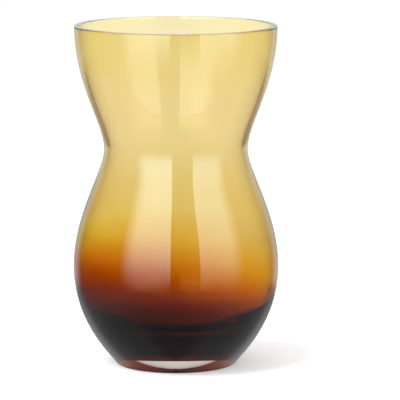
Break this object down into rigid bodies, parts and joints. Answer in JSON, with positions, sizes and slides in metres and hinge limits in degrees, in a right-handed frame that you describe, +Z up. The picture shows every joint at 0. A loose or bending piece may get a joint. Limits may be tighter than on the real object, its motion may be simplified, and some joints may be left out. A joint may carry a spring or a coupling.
{
  "type": "vase",
  "caption": "Waisted blown glass vase with a flared open mouth, round lower bulb and small flat foot, clear outside, amber within, fading to dark burgundy at the base.",
  "frame": {"origin": "centre of the foot, on the plane the vase stands on", "axes": "+Z up along the vase's axis of rotation, towards the mouth; +X and +Y are arbitrary, because the vase is round"},
  "size_m": [0.0968, 0.0968, 0.16],
  "materials": {
    "clear_glass": "clear, fire-polished, glossy, with a faint green-grey edge",
    "burgundy_glass": "dark plum transparent glass, near black where it is thick",
    "amber_glass": "transparent golden amber, glossy"
  },
  "bodies": {
    "root": {"clear_casing": "clear_glass", "burgundy_overlay": "burgundy_glass", "amber_lining": "amber_glass"}
  },
  "joints": []
}
